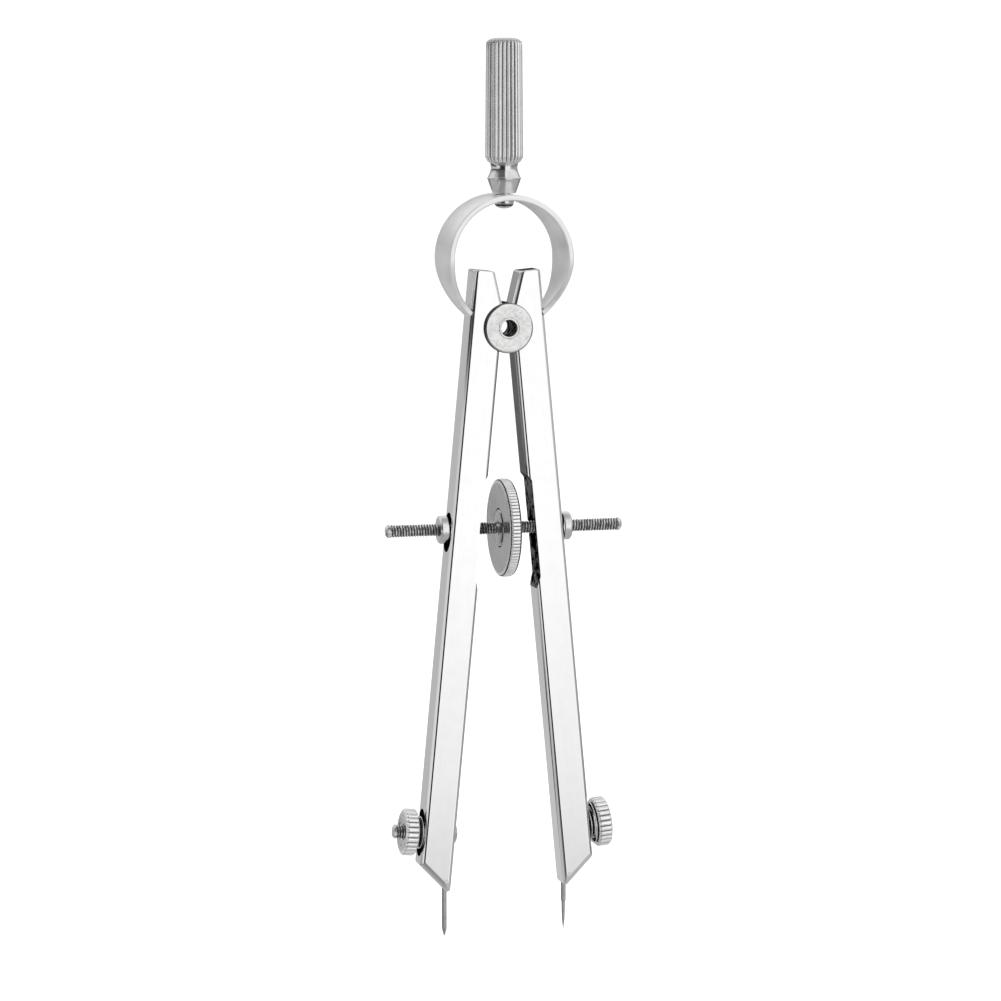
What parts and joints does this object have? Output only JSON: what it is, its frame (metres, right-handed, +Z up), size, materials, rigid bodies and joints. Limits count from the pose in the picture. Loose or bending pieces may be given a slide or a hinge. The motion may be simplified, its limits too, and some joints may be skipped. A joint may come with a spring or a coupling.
{
  "type": "drawing compass",
  "caption": "Metal spring bow divider: two hinged needle legs under a hoop spring and knurled handle, opened and closed by a centre wheel on a threaded spindle.",
  "frame": {"origin": "on the paper, midway between the two needle points", "axes": "+Z up through the handle, +X from the left leg to the right leg along the spindle, +Y away from the user through the thickness of the legs"},
  "size_m": [0.0432, 0.0176, 0.16],
  "materials": {
    "satin_nickel": "satin nickel plate",
    "spring_steel": "satin nickel-plated spring steel",
    "polished_chrome": "polished chrome plate",
    "plated_fitting": "bright nickel plate",
    "wheel_steel": "turned steel, bright knurl",
    "thread_steel": "dark cut thread",
    "needle_steel": "hardened needle steel"
  },
  "bodies": {
    "head": {"handle": "satin_nickel", "handle_screw": "plated_fitting", "ring_spring": "spring_steel", "fulcrum_roller": "spring_steel", "pivot_rivet": "plated_fitting", "pivot_disc_front": "satin_nickel", "pivot_disc_rear": "satin_nickel"},
    "wheel_and_spindle": {"spindle": "thread_steel", "adjusting_wheel": "wheel_steel", "wheel_hub": "plated_fitting"},
    "left_collar_nut": {"left_nut": "plated_fitting"},
    "right_collar_nut": {"right_nut": "plated_fitting"},
    "left_leg_assembly": {"left_leg": "polished_chrome", "left_clamp_bolt": "plated_fitting", "left_clamp_washer": "plated_fitting"},
    "right_leg_assembly": {"right_leg": "polished_chrome", "right_clamp_washer": "plated_fitting"},
    "left_clamp_nut": {"left_thumb_nut": "plated_fitting"},
    "right_clamp_screw": {"right_thumb_screw": "plated_fitting"},
    "left_point": {"left_needle": "needle_steel"},
    "right_point": {"right_needle": "needle_steel"}
  },
  "joints": [
    {"name": "wheel_spin", "type": "hinge", "parent": "head", "child": "wheel_and_spindle", "pos_m": [0, 0, 0.07355], "axis": [1, 0, 0], "range_deg": [-2280, 2820]},
    {"name": "left_leg_swing", "type": "hinge", "parent": "head", "child": "left_leg_assembly", "pos_m": [0, 0, 0.1093], "axis": [0, 1, 0], "range_deg": [-4.86, 6.01]},
    {"name": "right_leg_swing", "type": "hinge", "parent": "head", "child": "right_leg_assembly", "pos_m": [0, 0, 0.1093], "axis": [0, -1, 0], "range_deg": [-4.86, 6.01]},
    {"name": "left_nut_travel", "type": "slide", "parent": "head", "child": "left_collar_nut", "axis": [-1, 0, 0], "range_m": [-0.00317, 0.00392]},
    {"name": "right_nut_travel", "type": "slide", "parent": "head", "child": "right_collar_nut", "axis": [1, 0, 0], "range_m": [-0.00317, 0.00392]},
    {"name": "left_clamp_turn", "type": "hinge", "parent": "left_leg_assembly", "child": "left_clamp_nut", "pos_m": [-0.01789, 0, 0.01938], "axis": [-0.9956, 0, 0.0936], "continuous": true},
    {"name": "right_clamp_turn", "type": "hinge", "parent": "right_leg_assembly", "child": "right_clamp_screw", "pos_m": [0.01789, 0, 0.01938], "axis": [0.9956, 0, 0.0936], "continuous": true},
    {"name": "left_needle_slide", "type": "slide", "parent": "left_leg_assembly", "child": "left_point", "axis": [0, 0, 1], "range_m": [-0.006, 0.006]},
    {"name": "right_needle_slide", "type": "slide", "parent": "right_leg_assembly", "child": "right_point", "axis": [0, 0, 1], "range_m": [-0.006, 0.006]}
  ],
  "couplings": [
    {"joint": "left_leg_swing", "follows": "wheel_spin", "ratio": 0.0021277},
    {"joint": "right_leg_swing", "follows": "wheel_spin", "ratio": 0.0021277},
    {"joint": "left_nut_travel", "follows": "wheel_spin", "m_per_rad": 0.000079577},
    {"joint": "right_nut_travel", "follows": "wheel_spin", "m_per_rad": 0.000079577}
  ]
}
